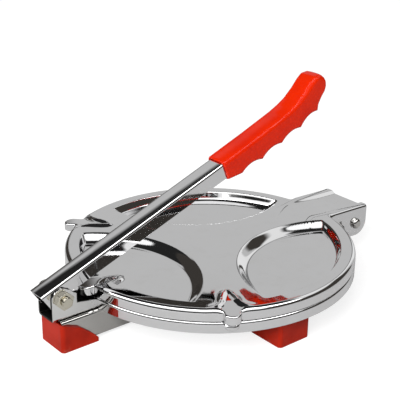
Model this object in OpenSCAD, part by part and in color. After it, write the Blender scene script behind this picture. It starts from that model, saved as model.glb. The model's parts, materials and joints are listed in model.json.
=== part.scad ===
// Hand press for flat breads: a round pan on crossed legs, a hinged cover plate
// and a channel lever with a finger grip that pushes the cover down.
// Millimetres, +Z up, the table at z = 0. The hinge lies toward +X, the lever's bolt toward -X.

/* [Plates] */
// Diameter of the pan and of the cover, over their rims
plate_d = 190; // [184:1:196]
// Thickness of the sheet that the pan and the cover are drawn from
sheet = 1; // [0.8:0.1:1.2]
// Height of the pan from the lower edge of its skirt to its pressing face
pan_depth = 7.2; // [6.8:0.1:7.8]
// Gap left between the two pressing faces when the press is closed
press_gap = 0.8; // [0.6:0.1:1.2]
// Depth of the three recesses in the cover
recess_depth = 5.3; // [4.8:0.1:5.8]
// Directions of the three recesses around the plate
recess_angles = [-61, 59.5, 179];
// Radius at the top edge of each recess, measured from a centre near the rim
recess_radii = [72, 69, 70];
// Distance from the plate's centre to each recess centre
recess_centre = 94; // [92:0.5:96]
// Directions of the three noses that stand out of the cover's rim
nose_angles = [-122, 122, 180];
// Distance from the plate's centre to each nose's tip
nose_tips = [101.2, 105, 102.3];
// Width of a nose
nose_w = 10.6; // [9:0.2:12]

/* [Hinge] */
// Distance from the plates' rim to the hinge pin
hinge_out = 24; // [23:0.5:26]
// Height of the hinge pin above the pan's lower edge
hinge_rise = 2.4; // [2:0.1:2.8]
// Diameter of the hinge pin
pin_d = 6; // [5:0.1:6.4]
// Width of the cover's hinge arm
arm_w = 40; // [38:0.5:42]
// Fall of the arm's top from the rim to its free end
arm_fall = 1.2; // [0.8:0.1:1.6]
// Distance from the hinge pin to the free end of the arm
arm_tail = 11.5; // [11.2:0.1:13]
// Radius of the rounded ears that carry the pin
ear_r = 9.6; // [9:0.1:9.8]

/* [Lever] */
// Distance from the plates' rim to the lever's bolt
bolt_out = 24.2; // [24:0.1:26]
// Height of the lever's bolt above the pan's lower edge
bolt_rise = 14.7; // [14.6:0.1:15.6]
// Diameter of the lever's bolt
bolt_d = 6; // [5:0.1:6.4]
// Width of the lever over its two sides
lever_w = 13.6; // [12.6:0.1:14]
// Thickness of the lever's sheet
lever_sheet = 1.4; // [1.2:0.1:1.6]
// Length of the lever from its bolt to the mouth of the grip
grip_start = 134.4; // [130:0.5:140]
// Angle of the lever above the table as the press stands
lever_tilt = 20.65; // [20:0.05:22]
// Width of the grip
grip_w = 16.8; // [16.2:0.1:19]
// Depth of the four finger hollows under the grip
finger_depth = 2.4; // [1.6:0.1:2.6]

/* [Legs] */
// Width of the leg tubes
leg_w = 20; // [18:0.5:21]
// Height of the long leg tube
leg_h = 17.7; // [17:0.1:19]
// Wall of the leg tubes
leg_sheet = 1.2; // [1:0.1:1.5]
// Wall of the shoes at their sides
shoe_wall = 2.4; // [2:0.1:3]
// Thickness of the shoes under the legs
shoe_floor = 2; // [1.5:0.1:3]
// Distance from the plate's centre to the end faces of the two side shoes
side_reach = 86.9; // [84:0.5:90]
// Offset of the side legs toward the lever
side_offset = 5; // [0:0.5:10]

/* [Fits] */
// Radial clearance of the pins in their bores
pin_fit = 0.05; // [0.02:0.01:0.08]
// Gap between flat faces that slide past each other
side_gap = 0.3; // [0.25:0.05:0.4]

/* [Hidden] */
$fn = 96;
steel = [0.76, 0.77, 0.79];
bolt_steel = [0.66, 0.66, 0.64];
grip_red = [0.91, 0.16, 0.05];
shoe_red = [0.66, 0.15, 0.08];

plate_r = plate_d / 2;
pan_z = shoe_floor + leg_h;
pan_top = pan_z + pan_depth;
disc_z = pan_top + press_gap;
floor_z = disc_z + sheet;
cover_top = floor_z + sheet + recess_depth;
skirt_z = pan_top + 0.5;
nose_top = cover_top - 0.2;
recess_rim = plate_r - 9;
recess_run = 4;
recess_centre_run = 9;

pin_x = plate_r + hinge_out;
pin_z = pan_z + hinge_rise;
pin_r = pin_d / 2;
arm_end = pin_x + arm_tail;
groove_w = arm_w - 14;
groove_drop = 1.8;
ear_in = arm_w / 2 - sheet;
lug_t = 1.3;
lug_out = ear_in - side_gap;
lug_r = 7.5;

bolt_x = -plate_r - bolt_out;
bolt_z = pan_z + bolt_rise;
bolt_r = bolt_d / 2;
bolt_across = 10;
nut_h = 4.9;
cheek_t = 1.3;
cheek_in = lever_w / 2 + side_gap;
cheek_out = cheek_in + cheek_t;
eye_r = 6.3;
seat_gap = 0.1;

lever_top = 8.03;
tail_back = 10.54;
lever_end = grip_start + 50;
// The plates stand off the origin so that the whole press is centred on it.
plate_x = (tail_back * cos(lever_tilt) + lever_top * sin(lever_tilt) - bolt_x - arm_end) / 2;

long_back = bolt_x - 1.7;
long_front = pin_x - 6;
shoe_end = 1.5;
shoe_l = 25.4;
brace = 20;

// A rectangle w wide and h high that stands on the middle of its lower side, corners of radius r
module round_rect(w, h, r) {
    translate([-w / 2, r]) square([w, h - 2 * r]);
    translate([-w / 2 + r, 0]) square([w - 2 * r, h]);
    for (x = [-1, 1], y = [r, h - r]) translate([x * (w / 2 - r), y]) circle(r);
}

// Points of an arc about (x, y) from angle a0 to angle a1
function arc(x, y, r, a0, a1) = [for (k = [0 : 18]) let (a = a0 + (a1 - a0) * k / 18) [x + r * cos(a), y + r * sin(a)]];

// Turns an outline drawn in x and z into a slab between y = y0 and y = y1
module slab(y0, y1) {
    translate([0, y1, 0]) rotate([90, 0, 0]) linear_extrude(y1 - y0) children();
}

// Turns an outline drawn in y and z into a bar from x = x0 to x = x1
module bar(x0, x1) {
    translate([x0, 0, 0]) rotate([90, 0, 90]) linear_extrude(x1 - x0) children();
}

// A round solid of radius r from z0 to z1 whose upper edge is rounded by edge
module drum(r, z0, z1, edge) {
    rotate_extrude() {
        translate([0, z0]) square([r - edge, z1 - z0]);
        translate([0, z0]) square([r, z1 - z0 - edge]);
        translate([r - edge, z1 - edge]) intersection() {
            circle(edge);
            square(edge);
        }
    }
}

module at_bolt() {
    translate([plate_x + bolt_x, 0, bolt_z]) children();
}

// ---- Legs and shoes ----

module tube(h) {
    difference() {
        round_rect(leg_w, h, 2.2);
        translate([0, leg_sheet]) round_rect(leg_w - 2 * leg_sheet, h - 2 * leg_sheet, 1);
    }
}

module leg_long() {
    color(steel)
        translate([plate_x, 0, shoe_floor]) bar(long_back, long_front) tube(leg_h);
}

// The side legs stand a little taller, up to the underside of the pan.
module side_leg() {
    translate([plate_x - side_offset, 0, shoe_floor]) rotate([0, 0, 90])
        bar(leg_w / 2, side_reach - shoe_end) tube(leg_h + pan_depth - sheet);
}

module leg_left() {
    color(steel) side_leg();
}

module leg_right() {
    color(steel) mirror([0, 1, 0]) side_leg();
}

// A boot whose end face is at x = 0 and which reaches back along +X under the leg
module shoe() {
    top = leg_h + shoe_floor - 1.1;
    difference() {
        intersection() {
            slab(-leg_w, leg_w) polygon([[0, 0], [shoe_l, 0], [shoe_l, 2.8], [21.9, 6.3], [13.4, 13.2], [0, top]]);
            rotate([0, 0, -90]) linear_extrude(top) round_rect(leg_w + 2 * shoe_wall, 2 * shoe_l, 2.5);
        }
        translate([0, 0, shoe_floor]) bar(shoe_end, 2 * shoe_l) round_rect(leg_w, 3 * leg_h, 2.2);
    }
}

module shoe_lever() {
    color(shoe_red) translate([plate_x + long_back - shoe_end, 0, 0]) shoe();
}

module shoe_hinge() {
    color(shoe_red) translate([plate_x + long_front + shoe_end, 0, 0]) mirror([1, 0, 0]) shoe();
}

module shoe_left() {
    color(shoe_red) translate([plate_x - side_offset, side_reach, 0]) rotate([0, 0, -90]) shoe();
}

module shoe_right() {
    color(shoe_red) translate([plate_x - side_offset, -side_reach, 0]) rotate([0, 0, 90]) shoe();
}

// ---- Pan and the two brackets under it ----

// Shallow bulges in the pan's skirt, below the two free noses of the cover
module pan_bulges(r) {
    for (i = [0, 1]) rotate([0, 0, nose_angles[i]]) translate([plate_r - 1.8, 0, pan_z + 2.2]) sphere(r);
}

module bottom_plate() {
    color(steel) translate([plate_x, 0, 0]) difference() {
        union() {
            drum(plate_r, pan_z, pan_top, 2);
            pan_bulges(4.6);
        }
        translate([0, 0, -brace]) drum(plate_r - sheet, pan_z, pan_top - sheet + brace, 1);
        pan_bulges(3.6);
        translate([-plate_r - brace, -plate_r - brace, pan_z - brace])
            cube([plate_d + 2 * brace, plate_d + 2 * brace, brace]);
        translate([-plate_r - brace, -cheek_out - side_gap, pan_z - 1])
            cube([brace + 5, 2 * (cheek_out + side_gap), pan_depth - sheet + 1]);
        translate([plate_r - 6, -lug_out - side_gap, pan_z - 1])
            cube([brace, 2 * (lug_out + side_gap), pan_depth - sheet + 1]);
    }
}

// A channel of sheet t, open at the top, that stands on pan_z
module bracket_channel(out, t, edge) {
    translate([0, pan_z]) difference() {
        round_rect(2 * out, 4 * brace, edge);
        translate([0, t]) round_rect(2 * (out - t), 4 * brace, edge / 2);
    }
}

module lever_bracket() {
    under = pan_top - sheet;
    color(steel) translate([plate_x, 0, 0]) difference() {
        intersection() {
            bar(bolt_x - eye_r, -plate_r + brace) bracket_channel(cheek_out, cheek_t, 2.4);
            slab(-brace, brace) polygon(concat([[bolt_x - eye_r, pan_z]], arc(bolt_x, bolt_z, eye_r, 180, 50),
                [[bolt_x + 5.8, bolt_z + 4.2], [bolt_x + 8.4, bolt_z + 1.5], [bolt_x + 10.3, bolt_z + 0.3],
                [bolt_x + 10.3, under + 2.6], [-plate_r + 0.4, under],
                [-plate_r + brace, under], [-plate_r + brace, pan_z]]));
        }
        translate([bolt_x, 0, bolt_z]) rotate([90, 0, 0]) cylinder(r = bolt_r + pin_fit, h = 4 * brace, center = true);
    }
}

module hinge_bracket() {
    under = pan_top - sheet;
    color(steel) translate([plate_x, 0, 0]) {
        difference() {
            for (s = [-1, 1]) slab(s > 0 ? lug_out - lug_t : -lug_out, s > 0 ? lug_out : -lug_out + lug_t) {
                translate([pin_x, pin_z]) circle(lug_r);
                polygon([[plate_r - brace, pan_z], [plate_r - brace, under], [plate_r + 1, under],
                    [pin_x - 4, pin_z + 6.3], [pin_x, pin_z], [pin_x + 6, pan_z]]);
            }
            translate([pin_x, 0, pin_z]) rotate([90, 0, 0])
                cylinder(r = pin_r + pin_fit, h = 4 * brace, center = true);
        }
        translate([plate_r - brace, -lug_out, pan_z]) cube([long_front - plate_r + brace, 2 * lug_out, cheek_t]);
    }
}

// ---- Bolt that carries the lever ----

// The bolt goes in from the left side, and its end stands out of the nut on the right.
module lever_bolt() {
    color(bolt_steel) at_bolt() rotate([90, 0, 0]) {
        translate([0, 0, -cheek_out - seat_gap - 1])
            cylinder(r = bolt_r, h = 2 * cheek_out + 2 * seat_gap + nut_h + 3.2);
        translate([0, 0, -cheek_out - seat_gap - 2.6]) cylinder(r = 4.8, h = 2.6);
    }
}

module lever_nut() {
    color(bolt_steel) at_bolt() rotate([90, 0, 0]) translate([0, 0, cheek_out + seat_gap]) difference() {
        rotate([0, 0, 15]) cylinder(r = bolt_across / sqrt(3), h = nut_h, $fn = 6);
        translate([0, 0, -1]) cylinder(r = bolt_r + pin_fit, h = nut_h + 2);
    }
}

module lever_bush() {
    half = lever_w / 2 - lever_sheet - pin_fit;
    color(bolt_steel) at_bolt() rotate([90, 0, 0]) difference() {
        cylinder(r = 4.6, h = 2 * half, center = true);
        cylinder(r = bolt_r + pin_fit, h = 2 * half + 2, center = true);
    }
}

// ---- Cover, its pressing disc and the hinge pin ----

// The space of one recess, or with grow = sheet the space of the recess and of the sheet around it
module recess(i, grow) {
    depth = cover_top - floor_z - sheet;
    rim_out = grow * sqrt(recess_run * recess_run + depth * depth) / depth;
    centre_out = grow * sqrt(recess_centre_run * recess_centre_run + depth * depth) / depth;
    low = (depth + grow) / depth;
    // Both cones run on above the cover, so that the cut leaves no skin.
    high = (depth + sheet) / depth - 1;
    rotate([0, 0, recess_angles[i]]) translate([0, 0, cover_top - depth - grow]) intersection() {
        cylinder(h = depth + grow + sheet,
            r1 = recess_rim + rim_out - recess_run * low, r2 = recess_rim + rim_out + recess_run * high);
        translate([recess_centre, 0, 0]) cylinder(h = depth + grow + sheet,
            r1 = recess_radii[i] + centre_out - recess_centre_run * low,
            r2 = recess_radii[i] + centre_out + recess_centre_run * high);
    }
}

// Each nose is a tongue with a round end, r half its width
module noses(r, z0, z1) {
    for (i = [0 : 2]) rotate([0, 0, nose_angles[i]]) translate([0, 0, z0]) linear_extrude(z1 - z0)
        polygon(concat([[plate_r - 8, r], [plate_r - 8, -r]], arc(nose_tips[i] - nose_w / 2, 0, r, -90, 90)));
}

// Height of the arm's top at x, level over the plate and falling from its rim
function arm_top(x) = cover_top - arm_fall * max(0, x - plate_r - 1) / (arm_end - plate_r - 1);

// The outline of the arm in x and z from x0 to x1, down to z0 and up to drop below its top
module arm_side(x0, x1, z0, drop) {
    polygon([[x0, z0], [x1, z0], [x1, arm_top(x1) - drop], [plate_r + 1, cover_top - drop], [x0, cover_top - drop]]);
}

// The hollow along the middle of the hinge arm, from its top down to the depth below by drop
module arm_groove(half, drop) {
    slab(-half, half) polygon([[plate_r - 13, cover_top - drop], [pin_x - 7, arm_top(pin_x - 7) - groove_drop - drop],
        [arm_end + 1, arm_top(arm_end + 1) - groove_drop - drop], [arm_end + 1, cover_top + 1],
        [plate_r - 13, cover_top + 1]]);
}

module ears() {
    flat = arm_tail - 0.5 - ear_r;
    for (s = [-1, 1]) slab(s > 0 ? ear_in : -arm_w / 2, s > 0 ? arm_w / 2 : -ear_in) {
        for (x = [-flat, flat]) translate([pin_x + x, pin_z]) circle(ear_r);
        translate([pin_x - flat, pin_z - ear_r]) square([2 * flat, ear_r]);
        polygon([[pin_x - 14, arm_top(pin_x - 14) - sheet / 2], [pin_x - 14, pin_z + 2.7],
            [pin_x - flat - ear_r, pin_z], [pin_x, pin_z - 1], [pin_x + flat + ear_r, pin_z],
            [pin_x + flat + ear_r, arm_top(pin_x + flat + ear_r) - sheet / 2]]);
    }
}

module top_cover() {
    color(steel) translate([plate_x, 0, 0]) difference() {
        union() {
            difference() {
                union() {
                    drum(plate_r, skirt_z, cover_top, 3);
                    noses(nose_w / 2, skirt_z - 0.2, nose_top);
                    slab(-arm_w / 2, arm_w / 2) arm_side(plate_r - 14, arm_end, skirt_z, 0);
                }
                for (i = [0 : 2]) recess(i, 0);
                arm_groove(groove_w / 2 - sheet / 2, 0);
                difference() {
                    union() {
                        translate([0, 0, -brace]) drum(plate_r - sheet, skirt_z, cover_top - sheet + brace, 2);
                        noses(nose_w / 2 - sheet, skirt_z - 1, nose_top - sheet);
                        slab(-arm_w / 2 - 1, arm_w / 2 + 1) arm_side(plate_r - 13, arm_end + 7, skirt_z - 1, sheet);
                    }
                    for (i = [0 : 2]) recess(i, sheet);
                    arm_groove(groove_w / 2 + sheet / 2, sheet);
                }
            }
            ears();
        }
        translate([pin_x, 0, pin_z]) rotate([90, 0, 0]) cylinder(r = pin_r + pin_fit, h = 4 * brace, center = true);
    }
}

module top_press_disc() {
    color(steel) translate([plate_x, 0, disc_z]) cylinder(r = plate_r - 2, h = sheet);
}

module hinge_pin() {
    color(bolt_steel) translate([plate_x + pin_x, 0, pin_z]) {
        rotate([90, 0, 0]) cylinder(r = pin_r, h = arm_w + 2, center = true);
        for (s = [-1, 1]) rotate([s * 90, 0, 0]) drum(pin_r + 0.8, arm_w / 2, arm_w / 2 + 3, 2.2);
    }
}

// ---- Lever and grip, drawn along x from the bolt and tilted into place ----

module at_lever() {
    at_bolt() rotate([0, -lever_tilt, 0]) children();
}

module lever_channel() {
    color(steel) at_lever() difference() {
        intersection() {
            bar(-brace, lever_end) translate([0, lever_top]) mirror([0, 1]) difference() {
                round_rect(lever_w, 3 * brace, 2);
                translate([0, lever_sheet]) round_rect(lever_w - 2 * lever_sheet, 3 * brace, 0.6);
            }
            slab(-brace, brace) {
                circle(7.5);
                polygon([[-tail_back, lever_top], [-7.6, -4.5], [0, 0], [14, -1.5], [grip_start, -3.4],
                    [lever_end, -3.4], [lever_end, lever_top]]);
            }
        }
        rotate([90, 0, 0]) cylinder(r = bolt_r + pin_fit, h = 4 * brace, center = true);
    }
}

// Top of the grip: its height over the lever's axis at distance t past the mouth
function grip_top(t) = lookup(t, [[0, 9.9], [28.6, 10.2], [55.6, 11], [63.6, 11.8], [70.6, 13.2],
    [79.1, 16.6], [85, 19.8], [89.6, 21.3], [94.2, 20.7]]);
// Crests between the fingers, along the underside of the grip
crests = [[12.1, -6.9], [30.3, -7.6], [48.9, -6.6], [67.4, -5.6], [84.5, -2.5]];
// Where the slices that meet those crests reach the top of the grip
crest_tops = [11.1, 29.1, 47.6, 63.6, 79.1];
// A slice is [underside distance, underside height, distance at the top].
function finger_slice(i, u) =
    let (a = crests[i], b = crests[i + 1], sag = finger_depth * (1 - pow(2 * u - 1, 2)))
    [a[0] + u * (b[0] - a[0]), a[1] + u * (b[1] - a[1]) + sag,
        crest_tops[i] + u * (crest_tops[i + 1] - crest_tops[i])];
grip_slices = concat([[0, -4.2, 0]],
    [for (i = [0 : 3], k = [0 : 3]) finger_slice(i, k / 4)],
    [[84.5, -2.5, 79.1], [87.6, 3, 82.1], [95, 7.5, 85], [97.6, 13.3, 89.6], [96.2, 18.6, 93.6]]);

module grip_slice(s) {
    rise = grip_top(s[2]) - s[1];
    run = s[2] - s[0];
    span = sqrt(rise * rise + run * run);
    translate([grip_start + s[0], 0, s[1]]) rotate([0, -atan2(rise, run), 0]) rotate([0, 0, -90])
        linear_extrude(0.02) round_rect(grip_w, span, min(3.2, span / 2.2), $fn = 24);
}

module handle_grip() {
    color(grip_red) at_lever() difference() {
        for (i = [0 : len(grip_slices) - 2]) hull() {
            grip_slice(grip_slices[i]);
            grip_slice(grip_slices[i + 1]);
        }
        translate([grip_start - 1, -lever_w / 2 - pin_fit, -3.4 - pin_fit])
            cube([lever_end - grip_start + 1.5, lever_w + 2 * pin_fit, lever_top + 3.4 + 2 * pin_fit]);
    }
}

leg_long();
leg_left();
leg_right();
shoe_lever();
shoe_hinge();
shoe_left();
shoe_right();
bottom_plate();
lever_bracket();
hinge_bracket();
lever_bolt();
lever_nut();
lever_bush();
top_cover();
top_press_disc();
hinge_pin();
lever_channel();
handle_grip();
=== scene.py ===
import json
import math

import bmesh
import bpy
import numpy as np
from mathutils import Matrix, Vector

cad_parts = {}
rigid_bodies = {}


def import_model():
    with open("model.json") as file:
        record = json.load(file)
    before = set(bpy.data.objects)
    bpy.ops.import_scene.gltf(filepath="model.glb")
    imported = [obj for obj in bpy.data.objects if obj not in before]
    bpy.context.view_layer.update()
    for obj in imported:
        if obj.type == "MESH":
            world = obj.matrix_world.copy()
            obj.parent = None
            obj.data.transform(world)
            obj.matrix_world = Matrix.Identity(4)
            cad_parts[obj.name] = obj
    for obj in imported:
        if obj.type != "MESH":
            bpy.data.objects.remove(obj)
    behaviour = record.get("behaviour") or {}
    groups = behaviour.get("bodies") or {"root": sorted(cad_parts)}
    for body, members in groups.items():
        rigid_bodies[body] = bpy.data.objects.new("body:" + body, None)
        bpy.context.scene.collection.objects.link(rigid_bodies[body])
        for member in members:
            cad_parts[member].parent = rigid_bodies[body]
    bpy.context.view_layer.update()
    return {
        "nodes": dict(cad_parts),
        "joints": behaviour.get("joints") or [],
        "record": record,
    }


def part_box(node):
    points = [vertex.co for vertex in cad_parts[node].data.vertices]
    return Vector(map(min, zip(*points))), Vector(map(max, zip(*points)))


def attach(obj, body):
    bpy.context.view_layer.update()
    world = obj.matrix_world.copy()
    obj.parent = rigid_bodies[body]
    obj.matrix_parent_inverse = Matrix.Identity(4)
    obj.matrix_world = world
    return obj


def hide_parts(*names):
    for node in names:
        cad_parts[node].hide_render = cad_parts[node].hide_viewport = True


for spare in list(bpy.data.objects):
    bpy.data.objects.remove(spare, do_unlink=True)
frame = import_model()

nodes = frame["nodes"]
bodies = frame["record"]["behaviour"]["bodies"]
bodyOf = {name: body for body, names in bodies.items() for name in names}
joints = {joint["name"]: Vector(joint["pos_m"]) * 1000 for joint in frame["joints"]}
print("frame loaded:", len(nodes), "nodes")


def span(node):
    # lowest and highest corner of a node, in millimetres
    low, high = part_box(node)
    return low * 1000, high * 1000


discLow, discHigh = span("top_press_disc")
panLow, panHigh = span("bottom_plate")
coverTop = span("top_cover")[1].z
discInset = 2  # the disc ends this far inside the plate's rim
plateX = (discLow.x + discHigh.x) / 2
plateR = (discHigh.x - discLow.x) / 2 + discInset
boltAt = joints["lever_swing"]
pinAt = joints["top_hinge"]


# eye in metres, roll in degrees, lens and sensor in millimetres
camera = {"eye": (-0.3844, -0.4562, 0.3108), "ahead": (0.5876, 0.7129, -0.3827),
          "right": (0.7716, -0.6361, 0.0), "roll": 0.72, "lens": 90, "sensor": 36, "near": 0.01}


def placeCamera():
    ahead = Vector(camera["ahead"]).normalized()
    right = Vector(camera["right"]).normalized()
    up = right.cross(ahead)
    turn = math.radians(camera["roll"])
    across = math.cos(turn) * right + math.sin(turn) * up
    upward = math.cos(turn) * up - math.sin(turn) * right
    data = bpy.data.cameras.new("camera")
    data.lens = camera["lens"]
    data.sensor_width = camera["sensor"]
    data.clip_start = camera["near"]
    body = bpy.data.objects.new("camera", data)
    place = Matrix((across, upward, -ahead)).transposed().to_4x4()
    place.translation = Vector(camera["eye"])
    body.matrix_world = place
    bpy.context.scene.collection.objects.link(body)
    bpy.context.scene.camera = body


placeCamera()
bpy.context.scene.view_settings.view_transform = "Standard"
print("camera placed")


def plainGrey(tone):
    return (tone, tone, tone, 1)


class Wire:
    # one socket of a node tree; arithmetic on it adds Math nodes
    def __init__(self, tree, socket=None):
        self.tree = tree
        self.socket = socket

    def add(self, kind, settings=None, sockets=None, out=0):
        node = self.tree.nodes.new(kind)
        for name, value in (settings or {}).items():
            if name == "stops":
                ramp = node.color_ramp
                while len(ramp.elements) < len(value):
                    ramp.elements.new(1)
                for element, (place, shade) in zip(ramp.elements, value):
                    element.position = place
                    element.color = plainGrey(shade)
            else:
                setattr(node, name, value)
        for name, value in (sockets or {}).items():
            if isinstance(value, Wire):
                self.tree.links.new(value.socket, node.inputs[name])
            else:
                node.inputs[name].default_value = value
        return Wire(self.tree, node.outputs[out] if len(node.outputs) else None)

    def maths(self, operation, *values):
        return self.add("ShaderNodeMath", {"operation": operation}, dict(enumerate(values)))

    def __add__(self, other):
        return self.maths("ADD", self, other)

    def __sub__(self, other):
        return self.maths("SUBTRACT", self, other)

    def __rsub__(self, other):
        return self.maths("SUBTRACT", other, self)

    def __mul__(self, other):
        return self.maths("MULTIPLY", self, other)

    __radd__ = __add__
    __rmul__ = __mul__

    def over(self, low, high):
        # 0 below low, 1 above high, smooth between
        return self.add("ShaderNodeMapRange", {"interpolation_type": "SMOOTHSTEP"},
                        {"Value": self, "From Min": low, "From Max": high})

    def mixed(self, first, second):
        # a colour between first and second, by this mask
        return self.add("ShaderNodeMix", {"data_type": "RGBA"}, {0: self, 6: first, 7: second}, out=2)


def noise(wires, where, scale, detail=2, stretch=None):
    if stretch:
        where = wires.add("ShaderNodeMapping", None, {"Vector": where, "Scale": stretch})
    return wires.add("ShaderNodeTexNoise", None, {"Vector": where, "Scale": scale, "Detail": detail})


def marks(wires, where, size, detail, low, high, stretch=None):
    # patches where the noise is strong
    return noise(wires, where, size, detail, stretch).over(low, high)


def newMaterial(name):
    material = bpy.data.materials.new(name)
    material.use_nodes = True
    material.node_tree.nodes.clear()
    return material, Wire(material.node_tree)


def endMaterial(wires, settings, sockets):
    shader = wires.add("ShaderNodeBsdfPrincipled", None, {**settings, **sockets})
    wires.add("ShaderNodeOutputMaterial", None, {"Surface": shader})


steelFinish = {
    "mirrorSheet": {"tint": (0.765, 0.765, 0.77, 1), "shade": (0.72, 0.715, 0.71, 1), "gloss": 0.03,
                    "smudge": 0.07, "wave": 0.000048, "waveSize": 45},
    "pressedBracket": {"tint": (0.76, 0.76, 0.75, 1), "shade": (0.68, 0.67, 0.65, 1), "gloss": 0.07,
                       "smudge": 0.09, "wave": 0.000048, "waveSize": 70, "innerHalf": 0.0076},
    "zincFastener": {"tint": (0.60, 0.57, 0.48, 1), "shade": (0.34, 0.31, 0.24, 1), "gloss": 0.14,
                     "smudge": 0.12, "wave": 0.00008, "waveSize": 300},
    # the legs: a rougher sheet whose darker colours are painted shade, standing for the shaded floor that
    # their sides reflect under the pan
    "shadedLegSheet": {"tint": (0.52, 0.51, 0.49, 1), "shade": (0.40, 0.39, 0.37, 1), "gloss": 0.12,
                 "smudge": 0.12, "wave": 0.000048, "waveSize": 60},
    "rivetSteel": {"tint": (0.55, 0.54, 0.52, 1), "shade": (0.34, 0.33, 0.31, 1), "gloss": 0.16,
                   "smudge": 0.14, "wave": 0.00008, "waveSize": 300},
}

# size, detail, and the noise where each kind of mark begins and is full; then how much of it shows
steelMarks = {
    "smudges": (38, 3, 0.42, 0.7), "rubbing": (260, 2, 0.5, 0.75), "grime": (110, 4, 0.5, 0.8),
    "rubbingStretch": (1, 0.12, 1), "smudgeTint": 0.25, "grimeTint": 0.45, "patchRough": 0.35,
    "rubbingRough": 0.3, "waveStrength": 0.5,
    # the inner faces of a bracket: the colour of their painted shade, how much rougher they are, and how
    # softly their mask fades
    "innerShadeTint": (0.05, 0.048, 0.045, 1), "innerRough": 0.45, "innerEdge": 0.0002,
}


def steel(name):
    # polished sheet: smudges and fine rubbing marks in the gloss, and the slow wave of drawn metal
    finish = steelFinish[name]
    material, wires = newMaterial(name)
    where = wires.add("ShaderNodeTexCoord", out="Object")
    smudges = marks(wires, where, *steelMarks["smudges"])
    rubbing = marks(wires, where, *steelMarks["rubbing"], stretch=steelMarks["rubbingStretch"])
    grime = marks(wires, where, *steelMarks["grime"])
    dirt = grime * steelMarks["grimeTint"] + smudges * steelMarks["smudgeTint"]
    colour = dirt.mixed(finish["tint"], finish["shade"])
    patchRough = finish["smudge"] * steelMarks["patchRough"]
    rubbingRough = finish["smudge"] * steelMarks["rubbingRough"]
    rough = finish["gloss"] + smudges * patchRough + rubbing * rubbingRough + grime * patchRough
    if "innerHalf" in finish:
        # painted shade: the inner faces of a bent bracket, between its two cheeks, are darkened as the
        # shadowed hollow under the lever, and made rougher
        half, fade = finish["innerHalf"], steelMarks["innerEdge"]
        across = wires.add("ShaderNodeSeparateXYZ", None, {"Vector": where}, out="Y")
        inner = 1 - across.maths("ABSOLUTE", across).over(half - fade, half + fade)
        colour = inner.mixed(colour, steelMarks["innerShadeTint"])
        rough = rough + inner * steelMarks["innerRough"]
    wave = noise(wires, where, finish["waveSize"], 1)
    bump = {"Height": wave, "Distance": finish["wave"], "Strength": steelMarks["waveStrength"]}
    normal = wires.add("ShaderNodeBump", None, bump, out="Normal")
    endMaterial(wires, {"Metallic": 1.0}, {"Base Color": colour, "Roughness": rough, "Normal": normal})
    return material


plasticFinish = {
    "gripRed": {"tint": (0.68, 0.019, 0.001, 1), "shade": (0.61, 0.014, 0.001, 1), "gloss": 0.13,
                "uneven": 0.04, "grain": 0.00004, "foot": -1.0, "dust": (0.6, 0.02, 0.008, 1),
                "specular": 0.16},
    "shoeRed": {"tint": (0.40, 0.016, 0.004, 1), "shade": (0.30, 0.011, 0.003, 1), "gloss": 0.34,
                "uneven": 0.08, "grain": 0.00008, "foot": 0.0035, "dust": (0.33, 0.05, 0.03, 1),
                "specular": 0.12},
}

# as for steel, and how far the dusty foot fades
plasticMarks = {"flow": (55, 3, 0.35, 0.7), "scuffs": (210, 4, 0.55, 0.72), "grainSize": 900,
                "grainStrength": 0.4, "footEdge": 0.003}


def plastic(name):
    # moulded plastic: faint flow marks in the colour, a fine grain, and scuffs low down where it stands
    finish = plasticFinish[name]
    material, wires = newMaterial(name)
    where = wires.add("ShaderNodeTexCoord", out="Object")
    flow = marks(wires, where, *plasticMarks["flow"])
    fine = noise(wires, where, plasticMarks["grainSize"])
    scuffs = marks(wires, where, *plasticMarks["scuffs"])
    height = wires.add("ShaderNodeSeparateXYZ", None, {"Vector": where}, out="Z")
    low, fade = finish["foot"], plasticMarks["footEdge"]
    foot = (1 - height.over(low - fade, low + fade)) * scuffs
    colour = foot.mixed(flow.mixed(finish["tint"], finish["shade"]), finish["dust"])
    rough = finish["gloss"] + flow * finish["uneven"] + scuffs * finish["uneven"]
    bump = {"Height": fine, "Distance": finish["grain"], "Strength": plasticMarks["grainStrength"]}
    normal = wires.add("ShaderNodeBump", None, bump, out="Normal")
    endMaterial(wires, {"Specular IOR Level": finish["specular"]},
                {"Base Color": colour, "Roughness": rough, "Normal": normal})
    return material


mirrorSheet = steel("mirrorSheet")
pressedBracket = steel("pressedBracket")
zincFastener = steel("zincFastener")
rivetSteel = steel("rivetSteel")
shadedLegSheet = steel("shadedLegSheet")
gripRed = plastic("gripRed")
shoeRed = plastic("shoeRed")
print("finishes made")


def newPiece(name, verts, faces, material):
    # verts are in millimetres, in the frame of the press
    mesh = bpy.data.meshes.new(name)
    mesh.from_pydata([tuple(v) for v in (np.asarray(verts, float) * 0.001)], [], faces)
    mesh.validate()
    mesh.shade_smooth()
    mesh.materials.append(material)
    piece = bpy.data.objects.new(name, mesh)
    bpy.context.scene.collection.objects.link(piece)
    return piece


def settle(piece, node, slotName, *others):
    # the piece rides where its node rides, and stands for it
    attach(piece, bodyOf[node])
    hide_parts(node, *others)


def ringFaces(first, second):
    # faces between two closed rings; one may be a single point, or have twice the points of the other
    m, n = len(first), len(second)
    faces = []
    if m == 1:
        return [(first[0], second[i], second[(i + 1) % n]) for i in range(n)]
    if n == 1:
        return [(first[i], second[0], first[(i + 1) % m]) for i in range(m)]
    if m == n:
        return [(first[i], second[i], second[(i + 1) % n], first[(i + 1) % m]) for i in range(m)]
    if n == 2 * m:
        for i in range(m):
            a, b = first[i], first[(i + 1) % m]
            c, d, e = second[2 * i], second[2 * i + 1], second[(2 * i + 2) % n]
            faces += [(a, c, d), (a, d, b), (b, d, e)]
        return faces
    for i in range(n):
        a, b, c = first[2 * i], first[2 * i + 1], first[(2 * i + 2) % m]
        d, e = second[i], second[(i + 1) % n]
        faces += [(a, d, b), (b, d, e), (b, e, c)]
    return faces


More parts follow.
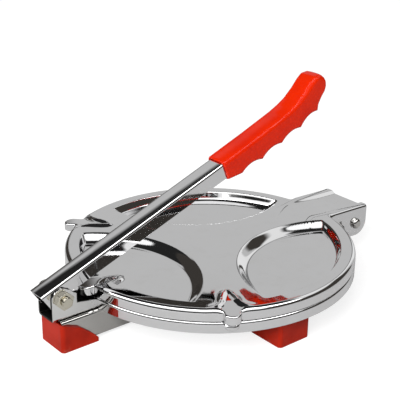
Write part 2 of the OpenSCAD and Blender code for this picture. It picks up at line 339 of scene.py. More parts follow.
def ringPiece(name, rings, material):
    verts, faces, before = [], [], None
    for ring in rings:
        ids = list(range(len(verts), len(verts) + len(ring)))
        verts += [tuple(p) for p in ring]
        if before:
            faces += ringFaces(before, ids)
        before = ids
    return newPiece(name, verts, faces, material)


def closedCurve(corners, rounding, spacing, fine=0.2):
    # Corners of a closed outline, rounded at steps of fine, then spaced anew by spacing(x, y).
    # The count is a multiple of 4, since rings further in have half or a quarter of the points.
    loop = np.array(corners, float)
    ahead = np.roll(loop, -1, 0)
    steps = np.maximum(1, np.ceil(np.hypot(*(ahead - loop).T) / fine)).astype(int)
    dense = np.concatenate([a + (b - a) * (np.arange(n) / n)[:, None]
                            for a, b, n in zip(loop, ahead, steps)])
    for _ in range(rounding):
        dense = (np.roll(dense, 1, 0) + 2 * dense + np.roll(dense, -1, 0)) / 4
    gap = np.hypot(*(np.roll(dense, -1, 0) - dense).T)
    weight = np.concatenate([[0], np.cumsum(gap / spacing(dense[:, 0], dense[:, 1]))])
    count = int(round(weight[-1] / 4)) * 4
    where = np.linspace(0, weight[-1], count, endpoint=False)
    whole = np.vstack([dense, dense[:1]])
    points = np.stack([np.interp(where, weight, whole[:, k]) for k in (0, 1)], 1)
    along = np.roll(points, -1, 0) - np.roll(points, 1, 0)
    along /= np.hypot(*along.T)[:, None]
    return points, np.stack([along[:, 1], -along[:, 0]], 1)


def softened(values, times):
    # evens out the values of neighbours around a ring
    for _ in range(times):
        values = (np.roll(values, 1) + 2 * values + np.roll(values, -1)) / 4
    return values


def rise(value, low, high):
    # 0 below low, 1 above high, smooth between
    t = np.clip((value - low) / (high - low), 0, 1)
    return t * t * (3 - 2 * t)


def facing(top, flat):
    # which way the face whose height is top(x, y) looks at these points
    step = 0.04
    x, y = flat.T
    slopes = np.stack([(top(x - step, y) - top(x + step, y)) / (2 * step),
                       (top(x, y - step) - top(x, y + step)) / (2 * step), np.ones_like(x)], 1)
    return slopes / np.linalg.norm(slopes, axis=1)[:, None]


# lip: the rounded foot of a skirt; evening: over this run inward the points come to even angles;
# underRings: which share of the points each ring below the sheet has, and its radius
drawn = {"lip": 0.18, "lipCorner": 0.3, "evening": 50, "underRings": ((2, 80), (4, 60), (4, 35), (4, 12))}


def sheetRings(points, outward, edge, low, top, under, inner, sheet):
    # A drawn sheet with a turned-down rim: out over the top, round the edge, down the skirt,
    # up inside it and back under. inner lists the round rings inside the rim, from the middle out.
    # Returned with the rings: the normals of the rings down to the foot of the skirt.
    inset = points - outward * edge[:, None]
    angle = np.unwrap(np.arctan2(inset[:, 1], inset[:, 0]))
    even = angle[0] + 2 * math.pi * np.arange(len(angle)) / len(angle)
    reach = np.hypot(*inset.T)
    ray = np.stack([np.cos(angle), np.sin(angle)], 1)
    rings = [np.array([[0, 0, top(np.array([0.0]), np.array([0.0]))[0]]])]
    normals = [np.array([[0.0, 0, 1]])]

    def lifted(flat, height):
        return np.column_stack([flat, height])

    last = inner["radii"][-1]
    for radius in inner["radii"]:
        part = 4 if radius < inner["quarter"] else 2 if radius < inner["half"] else 1
        near = rise(radius, last - drawn["evening"], last)
        at = (even + (angle - even) * near)[::part]
        flat = np.stack([np.cos(at), np.sin(at)], 1) * radius
        rings.append(lifted(flat, top(*flat.T)))
        normals.append(facing(top, flat))
    for t in inner["blend"]:
        flat = ray * (last + (reach - last) * t)[:, None]
        rings.append(lifted(flat, top(*flat.T)))
        normals.append(facing(top, flat))
    crown = top(*inset.T)
    swell = inner.get("swell", lambda flat, height: flat)
    for turn in np.radians(np.linspace(0, 90, inner["turns"] + 1))[1:]:
        flat = inset + outward * (edge * math.sin(turn))[:, None]
        height = crown - edge * (1 - math.cos(turn))
        rings.append(lifted(swell(flat, height), height))
        normals.append(lifted(outward * math.sin(turn), np.full(len(edge), math.cos(turn))))
    wall = crown - edge
    lip = np.minimum(drawn["lip"], np.maximum(wall - low, 0) / 3)
    corner = drawn["lipCorner"] * lip
    for share in inner["walls"]:
        height = wall + (low + lip - wall) * share
        rings.append(lifted(swell(points, height), height))
        normals.append(lifted(outward, np.zeros(len(edge))))
    rings.append(lifted(points - outward * corner[:, None], low + corner))
    rings.append(lifted(points - outward * lip[:, None], low))
    rings.append(lifted(points - outward * (sheet - lip)[:, None], low))
    inside = points - outward * sheet
    rings.append(lifted(inside, low + lip))
    rings.append(lifted(inside, under(*inside.T)))
    angle = np.arctan2(inside[:, 1], inside[:, 0])
    reach = np.hypot(*inside.T)
    ray = np.stack([np.cos(angle), np.sin(angle)], 1)
    for t in inner["underBlend"]:
        flat = ray * (reach + (inner["underR"] - reach) * t)[:, None]
        rings.append(lifted(flat, under(*flat.T)))
    for part, radius in drawn["underRings"]:
        flat = ray[::part] * radius
        rings.append(lifted(flat, under(*flat.T)))
    rings.append(np.array([[0, 0, under(np.array([0.0]), np.array([0.0]))[0]]]))
    for ring in rings:
        ring[:, 0] += plateX
    return rings, np.concatenate(normals)


def withNormals(piece, normals):
    # the first vertices take these normals, the others keep their own
    mesh = piece.data
    own = np.empty(len(mesh.vertices) * 3, np.float32)
    mesh.vertex_normals.foreach_get("vector", own)
    own = own.reshape(-1, 3)
    own[:len(normals)] = normals
    mesh.normals_split_custom_set_from_vertices(own.tolist())


cover = {
    "sheet": 1.0, "skirt": panHigh.z + 0.5, "edge": 3.0, "discGap": 0.05,
    "recessDepth": 5.3, "recessAngles": (-61, 59.5, 179), "recessRadii": (72, 69, 70),
    "recessCentre": 94, "recessInset": 9, "rimRun": 4.0, "centreRun": 9.0, "cornerRound": 0.3,
    "noseAngles": (-122, 122, 180), "noseTips": (101.2, 105, 102.3), "noseHalf": 5.3, "noseEdge": 1.3,
    "noseLow": panHigh.z + 1.2, "noseSlope": 0.09, "noseSlopeStart": 84, "noseFlank": 3,
    "armHalf": 20.0, "armEnd": pinAt.x - plateX + 11.5, "armEdge": 1.9, "armFall": 1.2, "backEdge": 0.22,
    "earR": 9.6, "earFlat": 1.4, "earLead": 14, "earLeadRise": 2.7,
    "grooveStart": plateR - 13, "grooveEnd": pinAt.x - plateX - 7, "grooveDrop": 1.8,
    "grooveHalf": 13.0, "grooveWall": 1.9,
}

# the bead around a nose: its ridge as (distance along the nose, distance across it, height), how wide
# it is, and the part of the cover that it reaches: from this far out, and this far to either side
bead = {"ridge": ((72, 0, 1.5), (73.2, 1.6, 1.6), (76, 3, 1.7), (80, 4.2, 1.6), (84, 5.2, 1.4),
                  (87, 6.4, 1.1), (89, 8.4, 0.7), (90, 11, 0.3), (90.4, 14, 0)),
        "wide": 2.2, "from": 60, "beside": 22, "samples": 120}

# how a recess wall falls from its top edge to its floor: a short turn, a straight part, a long sweep
recessWall = {"turn": 0.28, "sweepFrom": 0.46, "sweepPower": 1.3, "samples": 400}

# steps along the cover's edge, and where the closer ones are; arc and arcGap in radians and noseTurn in
# degrees only draw the outline
coverMesh = {"arc": 0.02, "arcGap": 0.005, "noseTurn": 10, "rounding": 14, "edgeBlend": 5,
             "step": 1.02, "noseStep": 0.5, "noseSpan": 5.5, "armStep": 0.8, "armLead": 2, "armBeside": 21,
             "backStep": 0.42, "backRun": 1.2, "backFrom": 100, "backHalf": 15, "backNear": 0.9,
             "noseNear": 1.5, "noseBeside": 0.8}

slopeAt = np.linspace(0, 1, recessWall["samples"])
sweep = np.clip((slopeAt - recessWall["sweepFrom"]) / (1 - recessWall["sweepFrom"]), 0, 1)
slope = np.where(slopeAt < recessWall["sweepFrom"], rise(slopeAt, 0, recessWall["turn"]),
                 np.cos(sweep * math.pi / 2) ** recessWall["sweepPower"])
wallDrop = np.cumsum(slope) / slope.sum()

ridgePoints = np.array(bead["ridge"], float)
ridgeAt = np.linspace(0, len(ridgePoints) - 1, bead["samples"])
ridge = np.stack([np.interp(ridgeAt, range(len(ridgePoints)), ridgePoints[:, k]) for k in range(3)], 1)


def alongNose(x, y, turn):
    # distance out along a nose's middle line, and distance beside it
    a = math.radians(turn)
    return x * math.cos(a) + y * math.sin(a), np.abs(y * math.cos(a) - x * math.sin(a))


def coverRise(x, y):
    # height of the sheet's upper face against the flat of the cover, in plate coordinates
    height = np.zeros_like(x)
    rim = (plateR - cover["recessInset"] - np.hypot(x, y)) / cover["rimRun"]
    for turn, radius in zip(cover["recessAngles"], cover["recessRadii"]):
        a = math.radians(turn)
        fromCentre = np.hypot(x - cover["recessCentre"] * math.cos(a),
                              y - cover["recessCentre"] * math.sin(a))
        arc = (radius - fromCentre) / cover["centreRun"]
        # the nearer of the two walls counts, with the corner between them rounded
        k = cover["cornerRound"]
        mix = np.clip(0.5 + 0.5 * (arc - rim) / k, 0, 1)
        depth = arc + (rim - arc) * mix - k * mix * (1 - mix)
        height -= cover["recessDepth"] * np.interp(depth, slopeAt, wallDrop)
    for turn in cover["noseAngles"]:
        out, side = alongNose(x, y, turn)
        raised = np.zeros_like(out)
        near = (out > bead["from"]) & (side < bead["beside"])
        away = (out[near][:, None] - ridge[:, 0]) ** 2 + (side[near][:, None] - ridge[:, 1]) ** 2
        raised[near] = np.max(ridge[:, 2] * np.exp(-away / bead["wide"] ** 2), axis=1, initial=0)
        lean = cover["noseSlope"] * np.maximum(out - cover["noseSlopeStart"], 0) \
            * (1 - rise(side, cover["noseHalf"], cover["noseHalf"] + cover["noseFlank"]))
        height += (raised - lean) * (out > 0)
    drop = cover["grooveDrop"] * np.clip((x - cover["grooveStart"])
                                         / (cover["grooveEnd"] - cover["grooveStart"]), 0, 1)
    half, wall = cover["grooveHalf"], cover["grooveWall"]
    height -= drop * (1 - rise(np.abs(y), half - wall, half + wall))
    rim = plateR + cover["sheet"]
    return height - cover["armFall"] * np.maximum(0, x - rim) / (cover["armEnd"] - rim)


def coverOutline():
    # the plate's edge, broken by the three noses, and the arm with its square end
    half, end, nose = cover["armHalf"], cover["armEnd"], cover["noseHalf"]
    start = math.asin(half / plateR)
    reach = math.asin(nose / plateR)
    foot = plateR * math.cos(reach)

    def arc(first, last):
        around = np.arange(first, last, coverMesh["arc"])
        return [(plateR * math.cos(a), plateR * math.sin(a)) for a in around]

    corners = []
    at = start
    middles = [math.radians(turn) % (2 * math.pi) for turn in cover["noseAngles"]]
    for middle, tip in sorted(zip(middles, cover["noseTips"])):
        corners += arc(at, middle - reach)
        across = Vector((-math.sin(middle), math.cos(middle)))
        along = Vector((math.cos(middle), math.sin(middle)))
        corners.append(tuple(along * foot - across * nose))
        for turn in range(-90, 91, coverMesh["noseTurn"]):
            t = math.radians(turn)
            corners.append(tuple(along * (tip - nose + nose * math.cos(t)) + across * nose * math.sin(t)))
        corners.append(tuple(along * foot + across * nose))
        at = middle + reach + coverMesh["arcGap"]
    corners += arc(at, 2 * math.pi - start)
    side = plateR * math.cos(start)
    return corners + [(side, -half), (end, -half), (end, half), (side, half)]


def coverSpacing(x, y):
    # closer points at the noses and along the arm, and the closest across the arm's end
    around = np.degrees(np.arctan2(y, x))
    step = np.full_like(x, coverMesh["step"])
    for turn in cover["noseAngles"]:
        near = np.abs((around - turn + 180) % 360 - 180) < coverMesh["noseSpan"]
        step = np.where(near, coverMesh["noseStep"], step)
    arm = (x > plateR - coverMesh["armLead"]) & (np.abs(y) < coverMesh["armBeside"])
    step = np.where(arm, coverMesh["armStep"], step)
    back = (x > coverMesh["backFrom"]) & (np.abs(y) < coverMesh["backHalf"])
    return np.where((x > cover["armEnd"] - coverMesh["backRun"]) | back, coverMesh["backStep"], step)


def makeCover():
    points, outward = closedCurve(coverOutline(), coverMesh["rounding"], coverSpacing)
    x, y = points.T
    edge = np.full(len(x), cover["edge"])
    low = np.full(len(x), cover["skirt"])
    flank = cover["noseHalf"] + coverMesh["noseBeside"]
    for turn in cover["noseAngles"]:
        out, side = alongNose(x, y, turn)
        near = (out > plateR - coverMesh["noseNear"]) & (side < flank)
        edge[near] = cover["noseEdge"]
        low[near] = cover["noseLow"]
    arm = (x > plateR) & (np.abs(y) < coverMesh["armBeside"])
    edge[arm] = cover["armEdge"]
    edge = softened(edge, coverMesh["edgeBlend"])
    pinX = pinAt.x - plateX
    back = (x > cover["armEnd"] - coverMesh["backNear"]) & (np.abs(y) < cover["armHalf"] - cover["sheet"])
    ears = arm & ~back & (x > pinX - cover["earLead"])
    beside = np.maximum(np.abs(x - pinX) - cover["earFlat"], 0)
    circle = pinAt.z - np.sqrt(np.maximum(cover["earR"] ** 2 - beside ** 2, 0))
    earStart = pinX - cover["earR"] - cover["earFlat"]
    lead = np.interp(x, [pinX - cover["earLead"], earStart], [pinAt.z + cover["earLeadRise"], pinAt.z])
    low[ears] = np.where(x < earStart, lead, circle)[ears]
    edge[back] = cover["backEdge"]
    top = coverTop + coverRise(*(points - outward * edge[:, None]).T)
    low[back] = (top - cover["sheet"])[back]

    def topFace(px, py):
        return coverTop + coverRise(px, py)

    def underFace(px, py):
        flat = discHigh.z + cover["discGap"]
        return np.where(px > plateR + cover["sheet"], topFace(px, py) - cover["sheet"], flat)

    inner = {"radii": np.concatenate([np.arange(1.5, 75, 1.15), np.arange(75.3, 84.4, 0.55)]),
             "quarter": 26, "half": 52, "blend": np.linspace(0, 1, 21)[1:], "turns": 8, "walls": (0.5, 1),
             "underBlend": (0.25, 0.5, 0.75, 0.93, 0.96, 1), "underR": plateR - 3}
    rings, normals = sheetRings(points, outward, edge, low, topFace, underFace, inner, cover["sheet"])
    piece = ringPiece("coverSheet", rings, mirrorSheet)
    withNormals(piece, normals)
    settle(piece, "top_cover", "steel")
    return piece


coverSheet = makeCover()
print("cover made:", len(coverSheet.data.polygons), "faces")


# the two round bulges stand in the upper part of the skirt, below the cover's two free noses
pan = {"sheet": 1.0, "edge": 2.0, "leverNotch": 8.7, "hingeNotch": 18.9, "notchLip": 0.3,
       "bulgeAngle": 122, "bulge": 2.8, "bulgeHalf": 4.4, "bulgeRise": 2.7, "bulgeDrop": 2.8,
       "bulgeFoot": 12}
panMesh = {"count": 400, "step": 1.1, "bulgeStep": 0.4, "bulgeSpan": 6}


def fromBulge(x, y):
    # degrees around the plate to the nearer bulge
    return np.abs(np.abs(np.degrees(np.arctan2(y, x))) - pan["bulgeAngle"])


def panSpacing(x, y):
    return np.where(fromBulge(x, y) < panMesh["bulgeSpan"], panMesh["bulgeStep"], panMesh["step"])


def makePan():
    around = np.linspace(0, 2 * math.pi, panMesh["count"], endpoint=False)
    circle = [(plateR * math.cos(a), plateR * math.sin(a)) for a in around]
    points, outward = closedCurve(circle, 0, panSpacing)
    x, y = points.T
    off = np.radians(fromBulge(x, y)) * plateR / pan["bulgeHalf"]

    def bulged(flat, height):
        up = (height - (panHigh.z - pan["bulgeDrop"])) / pan["bulgeRise"]
        inside = np.maximum(1 - off ** 2 - up ** 2, 0)
        swell = pan["bulge"] * np.sqrt(inside) * (1 - np.exp(-inside * pan["bulgeFoot"]))
        return flat + outward * swell[:, None]

    edge = np.full(len(x), pan["edge"])
    low = np.full(len(x), panLow.z)
    under = panHigh.z - pan["sheet"]
    low[(x < 0) & (np.abs(y) < pan["leverNotch"])] = under - pan["notchLip"]
    low[(x > 0) & (np.abs(y) < pan["hingeNotch"])] = under - pan["notchLip"]
    inner = {"radii": np.array([4, 12, 24, 36, 48, 60, 72, 84, 90]), "quarter": 30, "half": 55,
             "blend": (0.5, 1), "turns": 8, "walls": np.linspace(0, 1, 15)[1:], "swell": bulged,
             "underBlend": (0.5, 1), "underR": plateR - 4}
    rings, _ = sheetRings(points, outward, edge, low, lambda px, py: np.full_like(px, panHigh.z),
                          lambda px, py: np.full_like(px, under), inner, pan["sheet"])
    piece = ringPiece("panSheet", rings, mirrorSheet)
    settle(piece, "bottom_plate", "steel")
    return piece


panSheet = makePan()
print("pan made:", len(panSheet.data.polygons), "faces")


# lengths run along the lever from the grip's mouth, heights from the lever's middle line
grip = {
    "mouth": 134.4, "tilt": 20.65, "half": 8.4, "sideCorner": 3.0, "lowCorner": 2.2, "cornerShare": 2.3,
    "crown": 0.55, "finger": 2.4, "mouthLow": -4.2,
    "hole": (6.85, -3.45, 8.08), "holeCorners": (0.8, 1.6), "holeDepths": (30, 0.4), "holeFlare": 0.3,
    "topLine": ((0, 9.9), (28.6, 10.2), (55.6, 11), (63.6, 11.8), (70.6, 13.2), (79.1, 16.6), (85, 19.8),
                (89.6, 21.3), (94.2, 20.7)),
    "crests": ((12.1, -6.9), (30.3, -7.6), (48.9, -6.6), (67.4, -5.6), (84.5, -2.5)),
    "crestTops": (11.1, 29.1, 47.6, 63.6, 79.1),
    # the rounded tip: place and height of its underside, and place of the top above it
    "tip": ((84.5, -2.5, 79.1), (86.4, 1.2, 81.2), (90.6, 4.8, 83.4), (94.6, 7.3, 85.6),
            (96.7, 10.1, 87.8), (97.6, 13.3, 89.9), (97.4, 16.2, 92), (96.2, 18.6, 93.6)),
    "tipShare": 0.1, "tipNarrow": 2.2, "tipLean": 0.35, "tipPush": 0.45,
    "tipCap": ((0.85, 0.12), (0.6, 0.3), (0.3, 0.42)),  # share of the last slice, and how far out
    "mouthTurn": ((0, 0.7), (0.15, 0.25), (0.7, 0)),  # how far on, and how much smaller the slice is
}
gripMesh = {"start": 8, "finger": 14, "tip": 22, "corner": 9}  # slices, and points to a corner


def leverPoint(along, across, rising):
    # from distances along and above the lever to the frame
    t = math.radians(grip["tilt"])
    return (boltAt.x + along * math.cos(t) - rising * math.sin(t), across,
            boltAt.z + along * math.sin(t) + rising * math.cos(t))


def gripSlices():
    # each slice leans: place and height of its underside, and place of its top
    crests, tops = grip["crests"], grip["crestTops"]
    slices = []
    for u in np.arange(gripMesh["start"]) / gripMesh["start"]:
        low = grip["mouthLow"] + (crests[0][1] - grip["mouthLow"]) * u
        slices.append((crests[0][0] * u, low, tops[0] * u))
    for i in range(len(crests) - 1):
        a, b = crests[i], crests[i + 1]
        for u in np.arange(gripMesh["finger"]) / gripMesh["finger"]:
            hollow = grip["finger"] * (1 - (2 * u - 1) ** 2)
            slices.append((a[0] + u * (b[0] - a[0]), a[1] + u * (b[1] - a[1]) + hollow,
                           tops[i] + u * (tops[i + 1] - tops[i])))
    tip = np.array(grip["tip"])
    for u in np.linspace(0, len(tip) - 1, gripMesh["tip"]):
        slices.append(tuple(np.interp(u, range(len(tip)), tip[:, k]) for k in range(3)))
    return slices


def roundedRing(half, low, high, lowCorner, topCorner, crown=0):
    # points of a slice (across, up), from the middle of its underside to the right and round
    ring = []
    foot, head = low + lowCorner, high - topCorner
    quarters = ((1, lowCorner, foot, -90), (1, topCorner, head, 0),
                (-1, topCorner, head, 90), (-1, lowCorner, foot, 180))
    for side, r, middle, start in quarters:
        for t in np.radians(np.linspace(start, start + 90, gripMesh["corner"])):
            ring.append((side * (half - r) + r * math.cos(t), middle + r * math.sin(t)))
    return [(x, z - crown * (x / half) ** 2 if z > (low + high) / 2 else z) for x, z in ring]


def makeGrip():
    # from the bottom of the lever's hole out to the mouth, then over the outside to the tip
    half, low, high = grip["hole"]
    corners = grip["holeCorners"]
    flare = grip["holeFlare"]
    rings = []
    for depth in grip["holeDepths"]:
        rings.append([leverPoint(grip["mouth"] + depth, x, z)
                      for x, z in roundedRing(half, low, high, *corners)])
    mouth = roundedRing(half + flare, low - flare, high + flare, *(corner + flare for corner in corners))
    rings.append([leverPoint(grip["mouth"], x, z) for x, z in mouth])
    rings.insert(0, [tuple(np.array(rings[0]).mean(0))])
    topX, topZ = np.array(grip["topLine"]).T
    slices = gripSlices()
    for number, (bottomAt, bottom, topAt) in enumerate(slices):
        run, up = topAt - bottomAt, float(np.interp(topAt, topX, topZ)) - bottom
        length = math.hypot(run, up)
        side = min(grip["sideCorner"], length / grip["cornerShare"])
        foot = min(grip["lowCorner"], length / grip["cornerShare"])
        toTip = max(0, (number / (len(slices) - 1) - 1 + grip["tipShare"]) / grip["tipShare"])
        wide = grip["half"] - grip["tipNarrow"] * toTip ** 2
        for on, smaller in grip["mouthTurn"] if number == 0 else ((0, 0),):
            ring = roundedRing(wide - smaller, smaller, length - smaller, foot, side, grip["crown"])
            rings.append([leverPoint(grip["mouth"] + on + bottomAt + run * z / length, x,
                                     bottom + up * z / length) for x, z in ring])
    last = np.array(rings[-1])
    centre = last.mean(0)
    push = np.array(leverPoint(1, 0, grip["tipLean"])) - np.array(leverPoint(0, 0, 0))
    for share, out in grip["tipCap"]:
        rings.append(list(centre + (last - centre) * share + push * out))
    rings.append([tuple(centre + push * grip["tipPush"])])
    return ringPiece("gripBody", rings, gripRed)


gripBody = makeGrip()
settle(gripBody, "handle_grip", "grip_red")
print("grip made:", len(gripBody.data.polygons), "faces")


# bent and moulded parts, taken from their solids and given turned edges
# node: name of the piece, width of its turned edge in millimetres, finish, slot
turnedEdges = {
    "lever_channel": ("leverChannel", 0.25, mirrorSheet, "steel"),
    "lever_bracket": ("leverBracket", 0.3, pressedBracket, "steel"),
    "hinge_bracket": ("hingeBracket", 0.25, pressedBracket, "steel"),
    "leg_long": ("legLong", 0.2, shadedLegSheet, "steel"),
    "leg_left": ("legLeft", 0.2, shadedLegSheet, "steel"),
    "leg_right": ("legRight", 0.2, shadedLegSheet, "steel"),
    "shoe_lever": ("shoeLever", 0.6, shoeRed, "shoe_red"),
    "shoe_hinge": ("shoeHinge", 0.6, shoeRed, "shoe_red"),
    "shoe_left": ("shoeLeft", 0.6, shoeRed, "shoe_red"),
    "shoe_right": ("shoeRight", 0.6, shoeRed, "shoe_red"),
    "lever_nut": ("leverNut", 0.35, zincFastener, "bolt_steel"),
    "lever_bolt": ("leverBolt", 0.35, zincFastener, "bolt_steel"),
}

# points closer than merge, in metres, become one; faces within flat degrees become one; edges sharper
# than sharp degrees are turned
turning = {"merge": 2e-6, "flat": 1, "sharp": 32, "segments": 3, "flatWeight": 80}


def turnedCopy(node, name, width, material):
    mesh = bpy.data.meshes.new_from_object(nodes[node])
    work = bmesh.new()
    work.from_mesh(mesh)
    bmesh.ops.remove_doubles(work, verts=work.verts, dist=turning["merge"])
    bmesh.ops.dissolve_limit(work, angle_limit=math.radians(turning["flat"]), verts=work.verts,
                             edges=work.edges)
    work.to_mesh(mesh)
    work.free()
    mesh.materials.clear()
    mesh.materials.append(material)
    mesh.shade_smooth()
    piece = bpy.data.objects.new(name, mesh)
    bpy.context.scene.collection.objects.link(piece)
    bevel = piece.modifiers.new("turned", "BEVEL")
    bevel.width = width * 0.001
    bevel.segments = turning["segments"]
    bevel.limit_method = "ANGLE"
    bevel.angle_limit = math.radians(turning["sharp"])
    weight = piece.modifiers.new("flats", "WEIGHTED_NORMAL")
    weight.weight = turning["flatWeight"]
    depsgraph = bpy.context.evaluated_depsgraph_get()
    done = bpy.data.meshes.new_from_object(piece.evaluated_get(depsgraph))
    piece.modifiers.clear()
    piece.data = done
    return piece


# turns of thread that stand out of the nut: pitch, radius, wire and the last one's place in millimetres
thread = {"count": 3, "pitch": 0.8, "radius": 2.9, "wire": 0.3, "reach": 15.2, "around": 48, "section": 8}


def threadTree():
    # a row of rings along -Y: the turns of a screw thread
    tree = bpy.data.node_groups.new("threadRings", "GeometryNodeTree")
    for name, kind in (("Count", "Int"), ("Pitch", "Float"), ("Radius", "Float"), ("Wire", "Float"),
                       ("Material", "Material")):
        tree.interface.new_socket(name, in_out="INPUT", socket_type="NodeSocket" + kind)
    tree.interface.new_socket("Geometry", in_out="OUTPUT", socket_type="NodeSocketGeometry")
    wires = Wire(tree)
    entry = tree.nodes.new("NodeGroupInput")
    given = {socket.name: Wire(tree, socket) for socket in entry.outputs if socket.name}
    step = wires.add("ShaderNodeCombineXYZ", None, {"Y": given["Pitch"] * -1})
    row = wires.add("GeometryNodeMeshLine", {"mode": "OFFSET"}, {"Count": given["Count"], "Offset": step})
    hoop = wires.add("GeometryNodeCurvePrimitiveCircle", None,
                     {"Resolution": thread["around"], "Radius": given["Radius"]})
    wire = wires.add("GeometryNodeCurvePrimitiveCircle", None,
                     {"Resolution": thread["section"], "Radius": given["Wire"]})
    ring = wires.add("GeometryNodeCurveToMesh", None, {"Curve": hoop, "Profile Curve": wire})
    turns = wires.add("GeometryNodeInstanceOnPoints", None,
                      {"Points": row, "Instance": ring, "Rotation": (math.pi / 2, 0, 0)})
    real = wires.add("GeometryNodeRealizeInstances", None, {"Geometry": turns})
    dressed = wires.add("GeometryNodeSetMaterial", None, {"Geometry": real, "Material": given["Material"]})
    wires.add("NodeGroupOutput", None, {"Geometry": dressed})
    return tree


def threadRings(material):
    base = bpy.data.objects.new("threadBase", bpy.data.meshes.new("threadBase"))
    bpy.context.scene.collection.objects.link(base)
    tree = threadTree()
    rings = base.modifiers.new("rings", "NODES")
    rings.node_group = tree
    wanted = {"Count": thread["count"], "Pitch": thread["pitch"] * 0.001, "Material": material,
              "Radius": thread["radius"] * 0.001, "Wire": thread["wire"] * 0.001}
    for item in tree.interface.items_tree:
        if item.name in wanted:
            rings[item.identifier] = wanted[item.name]
    depsgraph = bpy.context.evaluated_depsgraph_get()
    mesh = bpy.data.meshes.new_from_object(base.evaluated_get(depsgraph))
    base.modifiers.remove(rings)
    bpy.data.objects.remove(base, do_unlink=True)
    last = thread["reach"] - thread["pitch"] * (thread["count"] - 1)
    mesh.transform(Matrix.Translation((boltAt.x * 0.001, -last * 0.001, boltAt.z * 0.001)))
    return mesh


def joined(piece, extra):
    # adds another mesh to the piece's own
    work = bmesh.new()
    work.from_mesh(piece.data)
    work.from_mesh(extra)
    bmesh.ops.recalc_face_normals(work, faces=work.faces)
    work.to_mesh(piece.data)
    work.free()
    piece.data.shade_smooth()


# lean: degrees that the lever's top leans, half millimetres from its middle line; level: what counts as top
crown = {"lean": 3, "half": 5, "level": 0.999}


def crowned(piece):
    # shades the lever's flat top as the slight crown that it has
    mesh = piece.data
    tilt = math.radians(grip["tilt"])
    upward = Vector((-math.sin(tilt), 0, math.cos(tilt)))
    slope = math.tan(math.radians(crown["lean"])) / crown["half"]
    normals = [Vector(corner.vector) for corner in mesh.corner_normals]
    for face in mesh.polygons:
        if face.normal.dot(upward) > crown["level"]:
            for corner in face.loop_indices:
                y = mesh.vertices[mesh.loops[corner].vertex_index].co.y * 1000
                normals[corner] = (upward + Vector((0, slope * y, 0))).normalized()
    mesh.normals_split_custom_set([tuple(normal) for normal in normals])


for node, (name, width, material, slotName) in turnedEdges.items():
    piece = turnedCopy(node, name, width, material)
    if node == "lever_bolt":
        joined(piece, threadRings(material))
    if node == "lever_channel":
        crowned(piece)
    settle(piece, node, slotName)
print("bent parts made:", len(turnedEdges))

kept = {"top_press_disc": mirrorSheet, "hinge_pin": rivetSteel, "lever_bush": zincFastener}
for node, material in kept.items():
    for part in nodes[node].material_slots:
        part.material = material


# tones are grey values; lengths in metres
studio = {
    "floorTone": 0.60, "cameraFloor": 0.36, "cameraLift": 0.78, "floorHalf": 5.0,
    "skyLight": 0.5, "backdrop": 0.60, "dark": 0.02, "softbox": 1.3, "core": 6.0,
    "brown": (0.05, 0.045, 0.04, 1), "strip": 0.7,
    "keyPower": 24.0, "keySize": 0.8, "keyAt": (-1.1, -0.6, 0.9), "keyAim": (0, 0, 0.05),
}

# what polished faces see overhead: share of the way from the far horizon, over the top, to the near one
overhead = ((0.0, "backdrop"), (0.262, "backdrop"), (0.279, "dark"), (0.55, "dark"), (0.56, "softbox"),
            (0.60, "softbox"), (0.612, "core"), (0.67, "core"), (0.682, "softbox"), (0.835, "softbox"),
            (0.85, "dark"), (1.0, "dark"))
# its edges wander by noise of this size and strength, and come lower toward the sides
wander = {"coarse": (2.6, 0.03), "fine": (30, 0.012), "shift": 0.022, "sides": 0.12}

# reflectors beside the press: degrees to the left of the camera's direction over which each begins and
# ends, rise over which it ends above (top) and below (foot), and its grey; without one it is brown
reflectors = (
    {"begins": (11, 12.5), "ends": (70, 80), "top": (0.55, 0.6), "strip": ((13.4, 14.2), (16, 16.8))},
    {"begins": (-140, -130), "ends": (-50, -44), "top": (0.60, 0.66)},
    {"begins": (-23, -21), "ends": (-16, -14), "top": (0.60, 0.66), "grey": 0.2},
    {"begins": (-41, -38), "ends": (-26, -24), "top": (0.60, 0.66), "grey": 0.95},
    {"begins": (-90, -84), "ends": (-34, -26), "top": (0.80, 0.86), "foot": (0.58, 0.66), "grey": 0.95},
)


def paleFloor():
    # plain grey for the light in the scene, lifted nearly to white for the camera
    material, wires = newMaterial("paleFloor")
    seen = wires.add("ShaderNodeLightPath", out="Is Camera Ray")
    plain = wires.add("ShaderNodeBsdfDiffuse", None, {"Color": plainGrey(studio["floorTone"])})
    shade = wires.add("ShaderNodeBsdfDiffuse", None, {"Color": plainGrey(studio["cameraFloor"])})
    lift = wires.add("ShaderNodeEmission", None, {"Color": plainGrey(1), "Strength": studio["cameraLift"]})
    shown = wires.add("ShaderNodeAddShader", None, {0: shade, 1: lift})
    both = wires.add("ShaderNodeMixShader", None, {0: seen, 1: plain, 2: shown})
    wires.add("ShaderNodeOutputMaterial", None, {"Surface": both})
    return material


def makeFloor():
    half = studio["floorHalf"] * 1000
    corners = [(-half, -half, 0), (half, -half, 0), (half, half, 0), (-half, half, 0)]
    floor = newPiece("floor", corners, [(0, 1, 2, 3)], paleFloor())


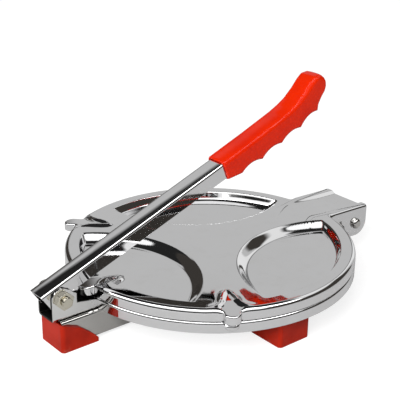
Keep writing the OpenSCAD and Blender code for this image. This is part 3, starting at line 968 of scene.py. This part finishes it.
def makeWorld():
    world = bpy.data.worlds.new("studio")
    bpy.context.scene.world = world
    world.use_nodes = True
    world.node_tree.nodes.clear()
    wires = Wire(world.node_tree)
    way = wires.add("ShaderNodeTexCoord", out="Generated")
    far = Vector((camera["ahead"][0], camera["ahead"][1], 0)).normalized()

    def along(direction):
        return wires.add("ShaderNodeVectorMath", {"operation": "DOT_PRODUCT"},
                         {0: way, 1: tuple(direction)}, out="Value")

    def uneven(scale, strength):
        return noise(wires, way, scale) * strength

    ahead, side, up = along(far), along((-far.y, far.x, 0)), along((0, 0, 1))
    over = up.maths("ARCTAN2", up, ahead) * (1 / math.pi)
    shifted = over + (uneven(*wander["coarse"]) + uneven(*wander["fine"]) - wander["shift"]
                      + side * side * wander["sides"])
    stops = [(place, studio[tone]) for place, tone in overhead]
    pattern = wires.add("ShaderNodeValToRGB", {"stops": stops}, {0: shifted})
    turn = side.maths("ARCTAN2", side, ahead) * (180 / math.pi)

    def between(begins, ends):
        return turn.over(*begins) * (1 - turn.over(*ends))

    for panel in reflectors:
        shade = plainGrey(panel["grey"]) if "grey" in panel else studio["brown"]
        if "strip" in panel:
            shade = between(*panel["strip"]).mixed(shade, plainGrey(studio["strip"]))
        mask = between(panel["begins"], panel["ends"]) * (1 - up.over(*panel["top"]))
        if "foot" in panel:
            mask = mask * up.over(*panel["foot"])
        pattern = mask.mixed(pattern, shade)
    # polished faces see the pattern, the camera white, and all other light is an even grey
    glossy = wires.add("ShaderNodeLightPath", out="Is Glossy Ray")
    seen = wires.add("ShaderNodeLightPath", out="Is Camera Ray")
    shade = seen.mixed(glossy.mixed(plainGrey(studio["skyLight"]), pattern), plainGrey(1))
    back = wires.add("ShaderNodeBackground", None, {"Color": shade, "Strength": 1.0})
    wires.add("ShaderNodeOutputWorld", None, {"Surface": back})


def makeLamp():
    data = bpy.data.lights.new("softLamp", "AREA")
    data.energy = studio["keyPower"]
    data.size = studio["keySize"]
    lamp = bpy.data.objects.new("softLamp", data)
    place = Vector(studio["keyAt"])
    aim = (Vector(studio["keyAim"]) - place).to_track_quat("-Z", "Y")
    lamp.matrix_world = Matrix.Translation(place) @ aim.to_matrix().to_4x4()
    lamp.visible_glossy = False
    bpy.context.scene.collection.objects.link(lamp)


makeFloor()
makeWorld()
makeLamp()
print("studio made")
